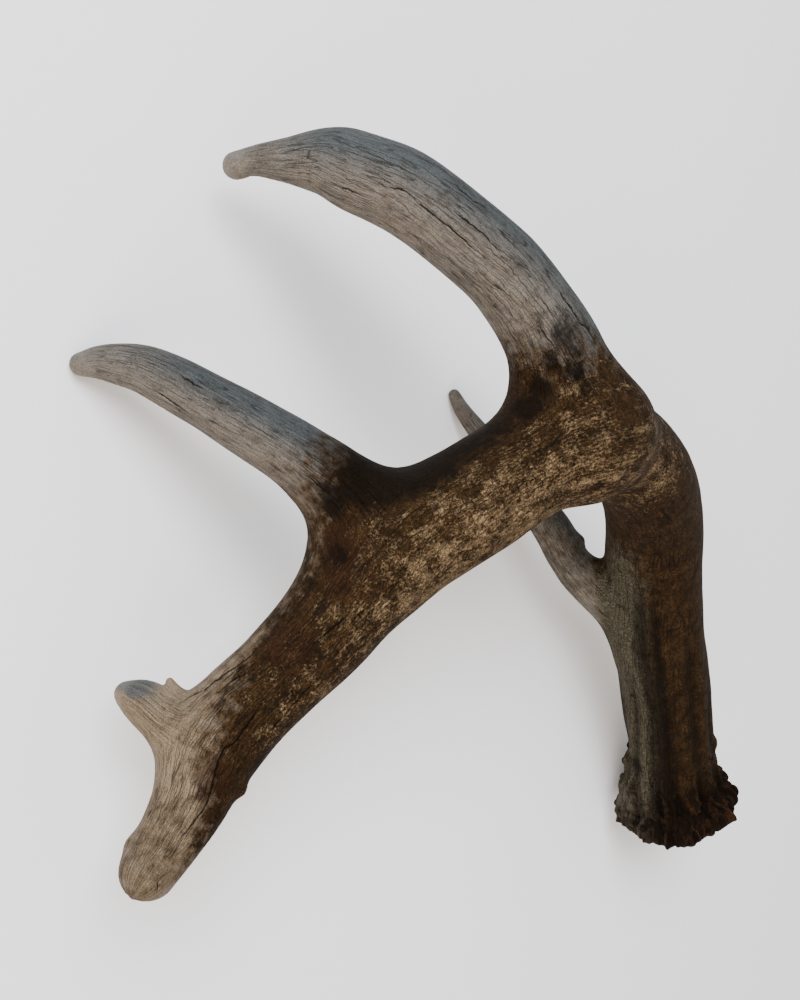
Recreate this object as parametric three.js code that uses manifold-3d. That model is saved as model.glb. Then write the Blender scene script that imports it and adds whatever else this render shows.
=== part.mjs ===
// Shed antler of a mature white-tailed deer, left side: a main beam that bends through nearly a
// right angle above its burr, with four tines on the outer side of the bend.
// Millimetres, +Z up. The antler lies on the rim of its burr and on the tips of its first and
// third tines, which touch Z = 0. Above the middle of its box is X = Y = 0.
import * as THREE from 'three';
import { mergeVertices } from 'three/addons/utils/BufferGeometryUtils.js';
import Module from 'manifold-3d';

const wasm = await Module();
wasm.setup();

// ---------------------------------------------------------------- driving dimensions

// A limb is a smooth line of points [x, y, z, radius], from its root to its tip.
const BEAM_PATH = [
  [99.5, 130, 25, 19.5], [88, 122, 26, 19], [67.5, 110.5, 29, 18], [47, 97, 34, 17.5],
  [22.5, 77.5, 40.5, 17], [-0.5, 60.5, 47, 17], [-20, 41.5, 57, 16.5], [-32.5, 16.5, 67.5, 15.5],
  [-39.5, -8.5, 72.5, 15], [-37, -27.5, 75, 16], [-30.5, -42.5, 70.5, 15.5], [-18.5, -57, 63.5, 16],
  [-8.5, -69.5, 57, 16.5], [1.5, -78.5, 52.5, 15.5], [11, -87, 50, 14.5], [21.5, -94, 47.5, 13.5],
  [32.5, -102.5, 43.5, 12.5], [44, -112.5, 39.5, 12.5], [55.5, -119, 37.5, 11.5],
  [65, -123.5, 38.5, 9.5], [74, -129.5, 39.5, 8], [80, -134.5, 40.5, 7],
];
const BROW_TINE_PATH = [
  [31.5, 80.5, 37.5, 11], [17, 64, 33, 9.5], [6.5, 48.5, 27.5, 8], [-2.5, 38, 24, 7],
  [-11.5, 31, 22, 7], [-27, 18, 15, 5], [-40, 6.5, 8, 4], [-49, -2, 4, 3], [-54.5, -5.5, 2, 2],
];
const SECOND_TINE_PATH = [
  [-43.5, -28, 77.5, 15.5], [-53.5, -35.5, 74.5, 14.5], [-66.5, -46.5, 73.5, 12.5],
  [-78, -60.5, 71.5, 11.5], [-87, -74.5, 66, 11], [-95.5, -87, 57, 11], [-100.5, -95.5, 46, 10.5],
  [-103.5, -99.5, 38, 9], [-103.5, -106, 29, 6], [-103, -111.5, 21, 4], [-102, -114.5, 16.5, 3.5],
];
const THIRD_TINE_PATH = [
  [-5, -83, 51, 12], [-15, -90, 47, 11.5], [-23.5, -100.5, 41.5, 9.5], [-29.5, -110.5, 35.5, 8.5],
  [-35.5, -121.5, 28, 7.5], [-40.5, -131, 20.5, 7], [-43, -137, 15, 6], [-43.5, -142.5, 7.5, 4.5],
  [-42.5, -146.5, 3, 3],
];
const FOURTH_TINE_PATH = [
  [48, -122, 34.5, 7.5], [46, -127, 31, 6.5], [42.5, -130.5, 26, 6], [41, -133, 20, 3.5],
];
// A second small point stands behind the stub of the fourth tine.
const FOURTH_TINE_LIP_PATH = [[45, -125, 32.5, 4.5], [41, -126, 31.5, 2.5], [38.3, -126.7, 30.3, 1.1]];

// How far the crotch between a tine and the beam is filled out.
const BROW_FILLET = 6.5;
const SECOND_FILLET = 14.5;
const THIRD_FILLET = 13.4;
const FOURTH_FILLET = 7.5;
const LIP_FILLET = 2.5;
const FLARE_LIMIT = 0.75;

const BEAM_SIDES = 40;
const TINE_SIDES = 18;
const SMALL_TINE_SIDES = 12;
const SPLINE_STEPS = 16;
const TIP_RINGS = 3;
const TINE_GAP = 0.3;

// The seal where the antler broke off, and the burr around it, as [height on the beam, radius].
// The first pair is the flat middle of the seal.
const BURR_PROFILE = [[-2, 12], [-1.2, 17.5], [0.8, 22.4], [3.6, 25.2], [6.6, 24], [9.4, 21.2]];
const BURR_RAGGEDNESS = 0.32;
const SHAFT_START = 12;
const PEARLED_END = 48;
const PEARLED_SPACING = 2.8;
const GUTTERED_END = 124;
const GUTTERED_SPACING = 5.6;
const SHAFT_SPACING = 8.8;

// Lengthwise gutters of the lower beam, as [angle, half width in degrees, depth, start, end].
const GUTTERS = [
  [-77, 9, 2.0, 4, 124], [-103, 7, 1.1, 10, 84], [-124, 7, 1.0, 6, 66], [-48, 8, 0.9, 10, 78],
  [-18, 9, 1.2, 4, 96], [14, 8, 1.0, 8, 70], [46, 9, 1.3, 4, 110], [80, 8, 1.0, 8, 76],
  [113, 9, 1.2, 4, 98], [147, 8, 1.0, 6, 80], [178, 9, 1.2, 4, 104], [-152, 8, 0.9, 8, 72],
];
const GUTTER_FADE = 14;

// Pearls of the lower beam, as [height on the beam, angle, half width, how far it stands out].
const PEARLS = [
  [16, -137, 3.6, 2.4], [28, -139, 3.4, 2.9], [14, -92, 3.4, 1.8], [25, -64, 3.2, 1.9],
  [15, -33, 3.6, 2.2], [31, -30, 3.0, 1.3], [19, -3, 3.4, 2.0], [14, 28, 3.6, 2.6],
  [23, 40, 3.2, 2.2], [34, 30, 3.0, 1.2], [16, 62, 3.6, 2.2], [27, 94, 3.4, 1.9],
  [15, 128, 3.6, 2.3], [30, 131, 3.2, 1.5], [18, 162, 3.6, 2.1], [16, -170, 3.4, 2.0],
  [38, -112, 3.0, 1.2], [42, 168, 3.0, 1.1], [40, 64, 3.0, 1.0], [21, -114, 3.2, 1.6],
];

// Lone knobs of the skin, as [x, y, z, half width, how far it stands out].
const KNOBS = [
  [96.8, 106.9, 11.5, 7, 3.4], [61.2, -113.4, 46.9, 2.2, 1.6], [75.4, -135.9, 33.6, 3.6, 1.3],
  [-7.9, 39, 28.1, 3, 2.6],
];

const BONE_BROWN = 0x6f5a43;
const BONE_GREY = 0x8f867a;

// ---------------------------------------------------------------- limbs

/** Position and radius on a Catmull-Rom line through a path's points, at a count of points along it. */
function splineAt(path, along) {
  const index = Math.min(Math.floor(along), path.length - 2);
  const t = along - index;
  const before = path[index - 1] ?? path[0].map((value, axis) => 2 * value - path[1][axis]);
  const last = path.length - 1;
  const after = path[index + 2] ?? path[last].map((value, axis) => 2 * value - path[last - 1][axis]);
  return path[index].map((value, axis) => {
    const next = path[index + 1][axis];
    const slope = (next - before[axis]) / 2;
    const nextSlope = (after[axis] - value) / 2;
    const rise = next - value;
    return value + slope * t + (3 * rise - 2 * slope - nextSlope) * t ** 2
      + (slope + nextSlope - 2 * rise) * t ** 3;
  });
}

/** A limb: samples along its line, each with a frame that doesn't twist. */
class Limb {
  constructor(path) {
    this.samples = [];
    for (let step = 0; step <= (path.length - 1) * SPLINE_STEPS; step += 1) {
      const [x, y, z, radius] = splineAt(path, step / SPLINE_STEPS);
      this.samples.push({ centre: new THREE.Vector3(x, y, z), radius, station: 0 });
    }
    const normal = new THREE.Vector3(0, 0, 1);
    this.samples.forEach((sample, index) => {
      const previous = this.samples[Math.max(index - 1, 0)];
      const next = this.samples[Math.min(index + 1, this.samples.length - 1)];
      sample.station = previous.station + sample.centre.distanceTo(previous.centre);
      sample.tangent = next.centre.clone().sub(previous.centre).normalize();
      normal.addScaledVector(sample.tangent, -normal.dot(sample.tangent)).normalize();
      sample.normal = normal.clone();
    });
    this.length = this.samples.at(-1).station;
  }

  /** Centre, radius and frame at a distance from the root; past either end it runs on straight. */
  at(station) {
    const samples = this.samples;
    const found = samples.findIndex((sample) => sample.station > station);
    const upper = found < 0 ? samples.length - 1 : Math.max(found, 1);
    const [a, b] = [samples[upper - 1], samples[upper]];
    const share = (station - a.station) / (b.station - a.station);
    const held = THREE.MathUtils.clamp(share, 0, 1);
    const tangent = a.tangent.clone().lerp(b.tangent, held).normalize();
    const normal = a.normal.clone().lerp(b.normal, held);
    normal.addScaledVector(tangent, -normal.dot(tangent)).normalize();
    const centre = a.centre.clone().lerp(b.centre, held);
    centre.addScaledVector(tangent, (share - held) * (b.station - a.station));
    return {
      centre,
      tangent,
      normal,
      side: tangent.clone().cross(normal),
      radius: THREE.MathUtils.lerp(a.radius, b.radius, held),
    };
  }

  /** How far a point is outside the limb's skin; inside it the distance is negative. */
  distance(point) {
    let nearest = Infinity;
    for (const sample of this.samples) {
      nearest = Math.min(nearest, point.distanceTo(sample.centre) - sample.radius);
    }
    return nearest;
  }
}

/** The lesser of two distances, rounded off where they are nearly equal. */
function smoothMin(a, b, width) {
  const overlap = Math.max(width - Math.abs(a - b), 0) / width;
  return Math.min(a, b) - overlap * overlap * width / 4;
}

const beam = new Limb(BEAM_PATH);

/** How far the skin of a tine, filled out to the beam at its crotch, is from a point on its line. */
function reachToSkin(tine, fillet, start, direction) {
  const limit = FLARE_LIMIT * fillet - tine.distance(start);
  const point = start.clone();
  let travelled = 0;
  for (let step = 0; step < 40 && travelled < limit; step += 1) {
    const depth = -smoothMin(tine.distance(point), beam.distance(point), fillet);
    if (depth < 0.02) {
      break;
    }
    travelled += depth;
    point.addScaledVector(direction, depth);
  }
  return Math.min(travelled, limit);
}

// ---------------------------------------------------------------- relief

/** A smooth bump of height 1, at a distance from its middle given in half widths. */
function bump(distance) {
  return Math.exp(-distance * distance);
}

/** Difference of two angles in degrees, between -180 and 180. */
function angleBetween(a, b) {
  return ((a - b + 540) % 360) - 180;
}

/** 1 between start and end, falling to 0 over a fade outside them. */
function window(value, start, end, fade) {
  const rise = THREE.MathUtils.smoothstep(value, start - fade, start);
  return rise * (1 - THREE.MathUtils.smoothstep(value, end - fade, end + fade));
}

/** How uneven the burr's rim is at an angle, from about -1 to 1. */
function raggedness(degrees) {
  const turn = THREE.MathUtils.degToRad(degrees);
  return 0.45 * Math.sin(5 * turn + 1) + 0.35 * Math.sin(9 * turn + 2.4) + 0.3 * Math.sin(14 * turn);
}

/** Relief of the beam: gutters sink it, pearls raise it. */
function beamRelief(station, degrees, radius) {
  let relief = 0.25 * Math.sin(THREE.MathUtils.degToRad(3 * degrees) + station / 45);
  for (const [angle, width, depth, start, end] of GUTTERS) {
    const wander = 3 * Math.sin(station / 17 + angle);
    const across = bump(angleBetween(degrees, angle + wander) / width);
    relief -= depth * across * window(station, start, end, GUTTER_FADE);
  }
  for (const [height, angle, width, rise] of PEARLS) {
    const aside = THREE.MathUtils.degToRad(angleBetween(degrees, angle)) * radius;
    relief += rise * bump(Math.hypot(station - height, aside) / width);
  }
  return relief;
}

/** Moves a point of the skin out where a lone knob stands. */
function addKnobs(point, outward) {
  for (const [x, y, z, width, rise] of KNOBS) {
    const away = point.distanceTo(new THREE.Vector3(x, y, z)) / width;
    point.addScaledVector(outward, rise * bump(away));
  }
  return point;
}

// ---------------------------------------------------------------- solids

/** A ring of points around a limb. radiusAt gives the radius for an angle and a direction. */
function ring(frame, sides, radiusAt) {
  return Array.from({ length: sides }, (_, index) => {
    const turn = (2 * Math.PI * index) / sides;
    const outward = frame.normal.clone().multiplyScalar(Math.cos(turn));
    outward.addScaledVector(frame.side, Math.sin(turn));
    const radius = radiusAt(THREE.MathUtils.radToDeg(turn), outward);
    return addKnobs(frame.centre.clone().addScaledVector(outward, radius), outward);
  });
}

/** A closed solid through rings of points, each end closed by a fan around its middle. */
function solidThrough(rings, firstPole, lastPole) {
  const sides = rings[0].length;
  const points = [firstPole, ...rings.flat(), lastPole];
  const faces = [];
  for (let index = 0; index < sides; index += 1) {
    const next = (index + 1) % sides;
    faces.push(0, 1 + next, 1 + index);
    for (let row = 0; row < rings.length - 1; row += 1) {
      const low = 1 + row * sides;
      const high = low + sides;
      faces.push(low + index, low + next, high + next);
      faces.push(low + index, high + next, high + index);
    }
    const top = 1 + (rings.length - 1) * sides;
    faces.push(points.length - 1, top + index, top + next);
  }
  return toSolid(points, faces);
}

/** A manifold solid from points and the corner indices of its triangles. */
function toSolid(points, faces) {
  const vertProperties = new Float32Array(points.flatMap((point) => [point.x, point.y, point.z]));
  return new wasm.Manifold(new wasm.Mesh({ numProp: 3, vertProperties, triVerts: new Uint32Array(faces) }));
}

/** Rings and a pole that round off the blunt end of a limb. */
function roundedEnd(limb, sides, grow) {
  const end = limb.at(limb.length);
  const rings = [];
  for (let step = 1; step <= TIP_RINGS; step += 1) {
    const turn = (Math.PI / 2) * (step / (TIP_RINGS + 1));
    const frame = { ...end, centre: end.centre.clone() };
    frame.centre.addScaledVector(end.tangent, end.radius * Math.sin(turn));
    rings.push(ring(frame, sides, () => end.radius * Math.cos(turn) + grow));
  }
  return { rings, pole: end.centre.clone().addScaledVector(end.tangent, end.radius + grow) };
}

/** Stations from start to end, evenly spaced at about a spacing, with the end left out. */
function stationsBetween(start, end, spacing) {
  const count = Math.round((end - start) / spacing);
  return Array.from({ length: count }, (_, index) => start + ((end - start) * index) / count);
}

/** The seal, burr and main beam, grown outward by a margin. */
function beamSolid(grow) {
  const root = beam.at(0);
  const rings = BURR_PROFILE.map(([height, radius]) => {
    const frame = beam.at(height);
    const flare = Math.max(radius - root.radius, 0);
    return ring(frame, BEAM_SIDES, (degrees) => radius + grow
      + flare * BURR_RAGGEDNESS * raggedness(degrees)
      + (height > 0 ? beamRelief(height, degrees, radius) * 0.6 : 0));
  });
  const stations = [
    ...stationsBetween(SHAFT_START, PEARLED_END, PEARLED_SPACING),
    ...stationsBetween(PEARLED_END, GUTTERED_END, GUTTERED_SPACING),
    ...stationsBetween(GUTTERED_END, beam.length, SHAFT_SPACING),
    beam.length,
  ];
  for (const station of stations) {
    const frame = beam.at(station);
    rings.push(ring(frame, BEAM_SIDES, (degrees) => frame.radius + grow
      + beamRelief(station, degrees, frame.radius)));
  }
  const tip = roundedEnd(beam, BEAM_SIDES, grow);
  const sealCentre = beam.at(BURR_PROFILE[0][0]).centre.addScaledVector(root.tangent, -grow);
  return solidThrough([...rings, ...tip.rings], sealCentre, tip.pole);
}

/** A tine with its root flared into the crotch, still running on inside the beam. */
function tineSolid(path, fillet, sides, rootSpacing, spacing) {
  const tine = new Limb(path);
  const rootEnd = Math.min(2.6 * path[0][3] + fillet, tine.length);
  const stations = [
    ...stationsBetween(0, rootEnd, rootSpacing),
    ...(rootEnd < tine.length ? stationsBetween(rootEnd, tine.length, spacing) : []),
    tine.length,
  ];
  const rings = stations.map((station) => {
    const frame = tine.at(station);
    return ring(frame, sides, (_, outward) => reachToSkin(tine, fillet, frame.centre, outward));
  });
  const tip = roundedEnd(tine, sides, 0);
  return solidThrough([...rings, ...tip.rings], tine.at(0).centre, tip.pole);
}

/** A tine cut back to the beam's skin, without the loose slivers that its flare leaves beyond it. */
function cutToBeam(tine) {
  const pieces = tine.subtract(clearance).decompose();
  return pieces.reduce((most, piece) => (piece.volume() > most.volume() ? piece : most));
}

/** A named mesh from a manifold solid. */
function toMesh(name, solid, color) {
  const mesh = solid.getMesh();
  const geometry = new THREE.BufferGeometry();
  geometry.setAttribute('position', new THREE.BufferAttribute(new Float32Array(mesh.vertProperties), 3));
  geometry.setIndex(new THREE.BufferAttribute(new Uint32Array(mesh.triVerts), 1));
  const merged = mergeVertices(geometry, 1e-5);
  merged.computeVertexNormals();
  const piece = new THREE.Mesh(
    merged,
    new THREE.MeshStandardMaterial({ color, roughness: 0.72, metalness: 0 }),
  );
  piece.name = name;
  return piece;
}

// ---------------------------------------------------------------- the antler

const clearance = beamSolid(TINE_GAP);
const browTine = tineSolid(BROW_TINE_PATH, BROW_FILLET, TINE_SIDES, 4.4, 8);
const secondTine = tineSolid(SECOND_TINE_PATH, SECOND_FILLET, TINE_SIDES, 4, 7.5);
const thirdTine = tineSolid(THIRD_TINE_PATH, THIRD_FILLET, TINE_SIDES, 4, 6.5);
const fourthStub = tineSolid(FOURTH_TINE_PATH, FOURTH_FILLET, SMALL_TINE_SIDES, 2.4, 3);
const fourthLip = tineSolid(FOURTH_TINE_LIP_PATH, LIP_FILLET, SMALL_TINE_SIDES, 2, 2);

const group = new THREE.Group();
group.add(
  toMesh('main_beam', beamSolid(0), BONE_BROWN),
  toMesh('brow_tine', cutToBeam(browTine), BONE_GREY),
  toMesh('second_tine', cutToBeam(secondTine), BONE_GREY),
  toMesh('third_tine', cutToBeam(thirdTine), BONE_GREY),
  toMesh('fourth_tine', cutToBeam(fourthStub.add(fourthLip)), BONE_GREY),
);

export default group;
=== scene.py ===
"""A shed deer antler in weathered bone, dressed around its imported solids.

The skin is one grown surface. Five limbs run together in their crotches, and the burr, gutters,
pearls, knobs and drying cracks are worked into it. Lengths are millimetres until a mesh is made.
"""

import logging
import math
from collections.abc import Mapping, Sequence
from dataclasses import dataclass
from enum import Enum
from functools import cached_property
from typing import Any

import bmesh
import bpy
import numpy as np
from mathutils import Matrix, Vector, noise

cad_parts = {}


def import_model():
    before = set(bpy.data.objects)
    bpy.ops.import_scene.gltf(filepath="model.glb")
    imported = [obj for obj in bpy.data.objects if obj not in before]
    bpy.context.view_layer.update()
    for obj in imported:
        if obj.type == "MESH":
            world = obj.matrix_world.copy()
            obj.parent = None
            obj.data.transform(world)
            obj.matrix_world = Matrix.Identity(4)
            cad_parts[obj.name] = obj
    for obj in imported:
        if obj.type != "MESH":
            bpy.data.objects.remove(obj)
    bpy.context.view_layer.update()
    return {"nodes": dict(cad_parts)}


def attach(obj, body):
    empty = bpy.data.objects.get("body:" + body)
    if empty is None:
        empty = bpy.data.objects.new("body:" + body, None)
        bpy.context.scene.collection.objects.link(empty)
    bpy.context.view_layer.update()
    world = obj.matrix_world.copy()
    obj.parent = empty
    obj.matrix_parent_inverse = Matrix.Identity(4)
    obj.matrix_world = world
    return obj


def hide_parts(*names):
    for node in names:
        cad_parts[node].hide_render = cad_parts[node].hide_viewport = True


log = logging.getLogger("antler")

MM = 0.001

# A limb is a smooth line of points (x, y, z, radius), from its root to its tip.
BEAM_PATH = (
    (99.5, 130, 25, 19.5), (88, 122, 26, 19), (67.5, 110.5, 29, 18), (47, 97, 34, 17.5),
    (22.5, 77.5, 40.5, 17), (-0.5, 60.5, 47, 17), (-20, 41.5, 57, 16.5), (-32.5, 16.5, 67.5, 15.5),
    (-39.5, -8.5, 72.5, 15), (-37, -27.5, 75, 16), (-30.5, -42.5, 70.5, 15.5),
    (-18.5, -57, 63.5, 16), (-8.5, -69.5, 57, 16.5), (1.5, -78.5, 52.5, 15.5), (11, -87, 50, 14.5),
    (21.5, -94, 47.5, 13.5), (32.5, -102.5, 43.5, 12.5), (44, -112.5, 39.5, 12.5),
    (55.5, -119, 37.5, 11.5), (65, -123.5, 38.5, 9.5), (74, -129.5, 39.5, 8), (80, -134.5, 40.5, 7),
)
BROW_TINE_PATH = (
    (31.5, 80.5, 37.5, 11), (17, 64, 33, 9.5), (6.5, 48.5, 27.5, 8), (-2.5, 38, 24, 7),
    (-11.5, 31, 22, 7), (-27, 18, 15, 5), (-40, 6.5, 8, 4), (-49, -2, 4, 3), (-54.5, -5.5, 2, 2),
)
SECOND_TINE_PATH = (
    (-43.5, -28, 77.5, 15.5), (-53.5, -35.5, 74.5, 14.5), (-66.5, -46.5, 73.5, 12.5),
    (-78, -60.5, 71.5, 11.5), (-87, -74.5, 66, 11), (-95.5, -87, 57, 11), (-100.5, -95.5, 46, 10.5),
    (-103.5, -99.5, 38, 9), (-103.5, -106, 29, 6), (-103, -111.5, 21, 4),
    (-101.6, -114.5, 16.3, 3.9),
)
THIRD_TINE_PATH = (
    (-5, -83, 51, 12), (-15, -90, 47, 11.5), (-23.5, -100.5, 41.5, 9.5), (-29.5, -110.5, 35.5, 8.5),
    (-35.5, -121.5, 28, 7.5), (-40.5, -131, 20.5, 7), (-43, -137, 15, 6), (-43.5, -142.5, 7.5, 4.5),
    (-42.5, -146.5, 3, 3),
)
FOURTH_TINE_PATH = (
    (48, -122, 34.5, 7.5), (46, -127, 31, 6.5), (42.5, -130.5, 26, 6), (41, -133, 20, 3.5),
)
FOURTH_TINE_LIP_PATH = ((45, -125, 32.5, 4.2), (40.3, -125.2, 32, 2.3), (36, -127, 29.6, 1.1))
SPLINE_STEPS = 16
TIP_LEANS = (0, 0.5, 1, 1.4)
THINNEST_TUBE = 1.9
TUBE_EVERY = 4
TINE_BORDER = (-5.0, 7.0)
LEAST_STEEPNESS = 0.3
POINTS_AT_ONCE = 6000

# The seal and the burr around it, as (height on the beam, radius).
BURR_PROFILE = ((-3.8, 12), (-3, 17.5), (-0.4, 22.4), (3, 25), (6.6, 24), (9.4, 21.2), (12, 19.2))
BURR_RAGGEDNESS = 0.32

# Waves round the burr's rim, as (height, how many go round, turn).
BURR_WAVES = ((0.45, 5, 1), (0.35, 9, 2.4), (0.3, 14, 0), (0.28, 31, 0.7), (0.2, 47, 0))

# Lengthwise gutters of the lower beam, as (angle, half width in degrees, depth, start, end).
GUTTERS = (
    (-77, 9, 2.0, 4, 124), (-103, 7, 1.1, 10, 84), (-124, 7, 1.0, 6, 66), (-48, 8, 0.9, 10, 78),
    (-18, 9, 1.2, 4, 96), (14, 8, 1.0, 8, 70), (46, 9, 1.3, 4, 110), (80, 8, 1.0, 8, 76),
    (113, 9, 1.2, 4, 98), (147, 8, 1.0, 6, 80), (178, 9, 1.2, 4, 104), (-152, 8, 0.9, 8, 72),
)
GUTTER_FADE = 14.0
GUTTER_WANDER = 3.0
GUTTER_WAVE = 17.0
# The gutter depth at which its painted shade is full.
GUTTER_SHADE_DEPTH = 1.4

# Large pearls of the lower beam and a hollow above its lobe, as (height on the beam, angle, half
# width, how far it stands out).
PEARLS = (
    (16, -137, 3.6, 1.6), (28, -139, 3.4, 1.8), (14, -92, 3.4, 1.8), (25, -64, 3.2, 1.9),
    (15, -33, 3.6, 2.2), (31, -30, 3.0, 1.3), (19, -3, 3.4, 2.0), (14, 28, 3.6, 1.4),
    (23, 40, 3.2, 1.0), (34, 30, 3.0, 1.2), (16, 62, 3.6, 2.2), (27, 94, 3.4, 1.9),
    (15, 128, 3.6, 2.3), (30, 131, 3.2, 1.5), (18, 162, 3.6, 2.1), (16, -170, 3.4, 2.0),
    (38, -112, 3.0, 1.2), (42, 168, 3.0, 1.1), (40, 64, 3.0, 1.0), (21, -114, 3.2, 1.6),
    (36, -141, 11, -1.9),
)

# Lone knobs of the skin, as (x, y, z, half width, how far it stands out).
KNOBS = (
    (96.8, 106.9, 11.5, 7, 3.4), (61.2, -113.4, 46.9, 2.2, 1.6), (75.4, -135.9, 33.6, 3.6, 1.8),
    (-7.9, 39, 28.1, 3, 1.9),
)

# The long drying cracks, as points (x, y, z) that each one runs past.
CRACKS = (
    ((-92.5, -94.2, 64.9), (-86, -85.6, 71.3), (-81.6, -79.4, 74.8), (-78.8, -75, 76.7)),
    ((-90.8, -86.8, 71.4), (-85.9, -78.8, 76.4), (-80.3, -71.9, 79.3)),
    ((-98.2, -87.2, 69.2), (-93.6, -78.7, 74.5), (-90.4, -73.9, 77.2)),
    ((-95, -104.1, 47.2), (-93.3, -101.9, 51.2), (-91.3, -98.8, 56.1)),
    ((-94.5, -98.7, 59.7), (-93.6, -95.1, 64.2), (-91, -92.2, 66.6)),
    ((-76.8, -56.7, 83.8), (-69.5, -48.5, 85.3), (-67, -44.5, 86), (-61.6, -39.6, 87.4)),
    ((-66.4, -59.3, 80.8), (-61, -53.2, 82.4), (-57.7, -50.3, 83.3)),
    ((30.8, -101.5, 57.3), (36.9, -105.7, 55), (39.3, -108.1, 54.1)),
    ((40.6, -108.3, 53.8), (44, -110.5, 52.6), (47.3, -113, 51.5)),
    ((37.6, -114.3, 52), (47.4, -119.6, 49.8), (50.5, -122.4, 48.4), (61.8, -124.4, 47.8),
     (65.9, -126.7, 47.6), (73.1, -132.8, 47)),
    ((23.6, -111.4, 46.6), (33.9, -120.3, 40.2), (38.7, -125.1, 36.5), (42.4, -130, 35.8)),
    ((29.8, -115.3, 47.1), (34.2, -119.9, 44), (38.9, -124, 42)),
    ((13.5, -96.1, 61.5), (21.4, -102.9, 57.4), (25.1, -105.4, 56)),
    ((-38.3, -137.6, 22), (-32.6, -129.7, 28.3), (-30, -126.3, 30)),
    ((-42.3, -133.2, 26.9), (-39.7, -129.6, 30.6), (-37.7, -125.7, 34.1)),
    ((-21, -106.6, 47.8), (-13.2, -98.1, 55.2), (-11.7, -96.2, 57.6)),
    ((79.6, -136, 47.3), (83, -135.8, 46.8)),
)
CRACK_STEPS = 8
CRACK_HALF_WIDTH = 0.38
CRACK_DEPTH = 0.4
CRACK_TAPER = 5.0
CRACK_REACH = 6.0
CRACK_NEAR = 3.0
CRACK_EDGE = (2.2, 1.4)
CRACK_WOBBLE = (0.5, -0.4, 0.3)
CRACK_WOBBLE_SIZE = 3.4

# Stained and rubbed places of the skin, as (x, y, z, reach).
DARK_PATCHES = (
    (-65, -52, 83, 5), (-61, -49, 86, 3), (-68, -57, 80, 3), (-55, -47, 86, 4), (-51, -44, 88, 3),
    (-57, -53, 82, 3), (-50, -51, 78, 4), (-45, -52, 76, 4), (-25, -78, 60, 9), (-21, -90, 58, 8),
    (-14, -99, 53, 4), (-1, -100, 57, 4), (2, -102, 54, 3), (56, -110, 50, 4), (80, 98, 24, 4),
)
RUST_PATCHES = (
    (3, -98, 59, 8), (-5, -98, 56, 6), (24, -107, 52, 8), (56, -124, 47, 6), (96, 108, 40, 9),
)
RUBBED_PATCHES = (
    (-60, -56, 78, 10), (-52, -45, 86, 10), (-42, -42, 90, 12), (-8, -88, 62, 12),
    (36, -108, 54, 10), (47, -110, 52, 8),
)

# Layers of fine cracks, each with its spacing and length as shares of the finish's own, the noise
# between which the skin opens, the half widths of a line's core and edge, and its darkness.
FINE_CRACKS = (
    (0.55, 0.55, (0.34, 0.58), (0.008, 0.08), 0.65),
    (1.0, 1.3, (0.3, 0.48), (0.003, 0.03), 0.95),
    (2.0, 3.8, (0.37, 0.48), (0.002, 0.015), 1.0),
)

# How a noise's layers follow each other: their falling strength, finer size and number.
NOISE_LAYERS = (1.0, 2.0, 2)

# The tines' numbers on the form. The fourth's small second point comes after it.
BROW_TINE, SECOND_TINE, FOURTH_TINE = 0, 1, 3

# The way faced by the tines' side that weather leaches most, which is also the side that painted sky
# light falls on.
LEACHED_AND_SKY_LIT_SIDE = (-0.99, -0.07, -0.07)

Socket = bpy.types.NodeSocket


class Tone(Enum):
    """What colours the bone, with the light and shade painted on it; each is a mask on the skin."""

    BROWN = "brown"
    FLECKED = "flecked"
    # Dark patches and a groove, and painted shade on the beam's upper edge and between the burr's
    # ribs.
    DARK = "dark"
    RUST = "rust"
    OLIVE = "olive"
    # A colder grey: bone that weather leaches, and painted sky light on the tines' upper side.
    LEACHED_AND_SKY_LIT = "cool"
    # Tan bone at the beam's tip and along its stain's edge, with painted warm light on the tip's side
    # away from the painted sky light.
    PALE = "pale"


# The values of mask and noise between which a tone sets in.
EDGE = (0.95, 1.38)
EDGES = {Tone.BROWN: (0.72, 1.3), Tone.DARK: (0.87, 1.46)}


def spline_through(path: Sequence[Sequence[float]], steps: int) -> np.ndarray:
    """Samples a Catmull-Rom line.

    Args:
        path: The points that the line passes.
        steps: How many samples each stretch between two points gets.

    Returns:
        The samples, one row each, with the last point at the end.
    """
    points = np.asarray(path, float)
    padded = np.vstack([2 * points[0] - points[1], points, 2 * points[-1] - points[-2]])
    share = (np.arange(steps) / steps)[:, None]
    rows = []
    for before, start, end, after in zip(padded, padded[1:], padded[2:], padded[3:]):
        slope, end_slope, rise = (end - before) / 2, (after - start) / 2, end - start
        rows.append(start + slope * share + (3 * rise - 2 * slope - end_slope) * share**2
                    + (slope + end_slope - 2 * rise) * share**3)
    return np.vstack([*rows, points[-1:]])


def lengths(rows: np.ndarray) -> np.ndarray:
    """The length of each row, taken as a vector."""
    return np.linalg.norm(rows, axis=1)


def distances_along(line: np.ndarray) -> np.ndarray:
    """How far along a line each of its points is."""
    return np.concatenate([[0.0], np.cumsum(lengths(np.diff(line, axis=0)))])


def smooth_step(value: np.ndarray, low: float, high: float) -> np.ndarray:
    """0 below low, 1 above high and an S-curve between; low may be the larger one."""
    share = np.clip((value - low) / (high - low), 0, 1)
    return share * share * (3 - 2 * share)


def bump(distance: np.ndarray) -> np.ndarray:
    """A smooth bump of height 1, at a distance from its middle given in half widths."""
    return np.exp(-distance * distance)


def window(value: np.ndarray, start: float, end: float, fade: float) -> np.ndarray:
    """1 between start and end, falling to 0 over a fade outside them."""
    return smooth_step(value, start - fade, start) * smooth_step(value, end + fade, end - fade)


def angle_between(a: np.ndarray, b: np.ndarray | float) -> np.ndarray:
    """Difference of two angles in degrees, between -180 and 180."""
    return (a - b + 540) % 360 - 180


def band(degrees: np.ndarray, middle: np.ndarray | float, width: float) -> np.ndarray:
    """A smooth band lengthwise on the beam, at one angle round it."""
    return bump(angle_between(degrees, middle) / width)


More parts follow.
